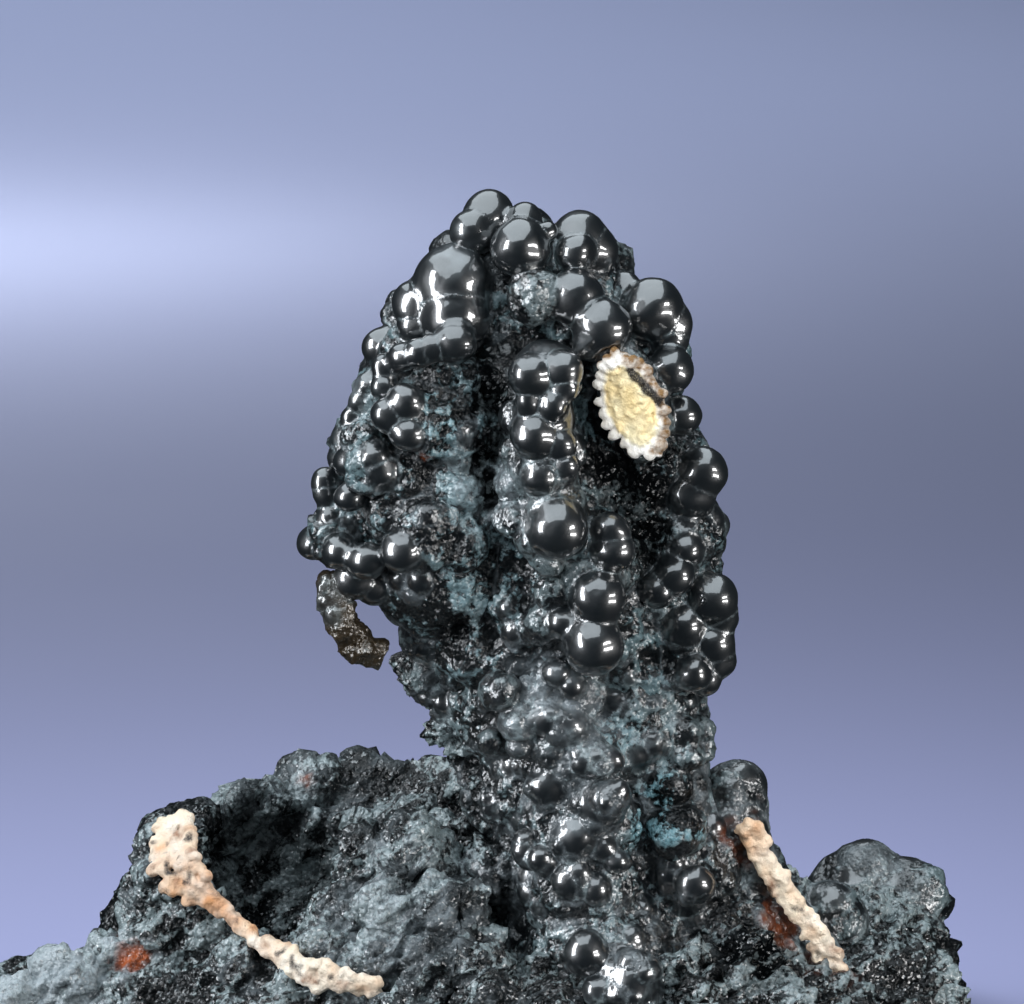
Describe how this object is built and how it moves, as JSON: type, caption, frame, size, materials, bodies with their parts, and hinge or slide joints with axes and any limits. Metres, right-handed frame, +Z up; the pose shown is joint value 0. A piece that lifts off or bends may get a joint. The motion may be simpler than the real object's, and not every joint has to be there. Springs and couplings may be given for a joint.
{
  "type": "botryoidal goethite specimen",
  "caption": "Upright knobbly goethite column with a rounded head, a drooping hook and broken pale faces, on a crusted base with a hollow, sawn flat underneath.",
  "frame": {"origin": "under the column's foot, on the sawn face of the base", "axes": "+Z up the column, +X to the right and -Y towards the side shown in the picture"},
  "size_m": [0.1122, 0.0613, 0.0911],
  "materials": {
    "goethite": "black, glossy on the rounded lumps and drusy dull between them"
  },
  "bodies": {
    "root": {"goethite_specimen": "goethite"}
  },
  "joints": []
}
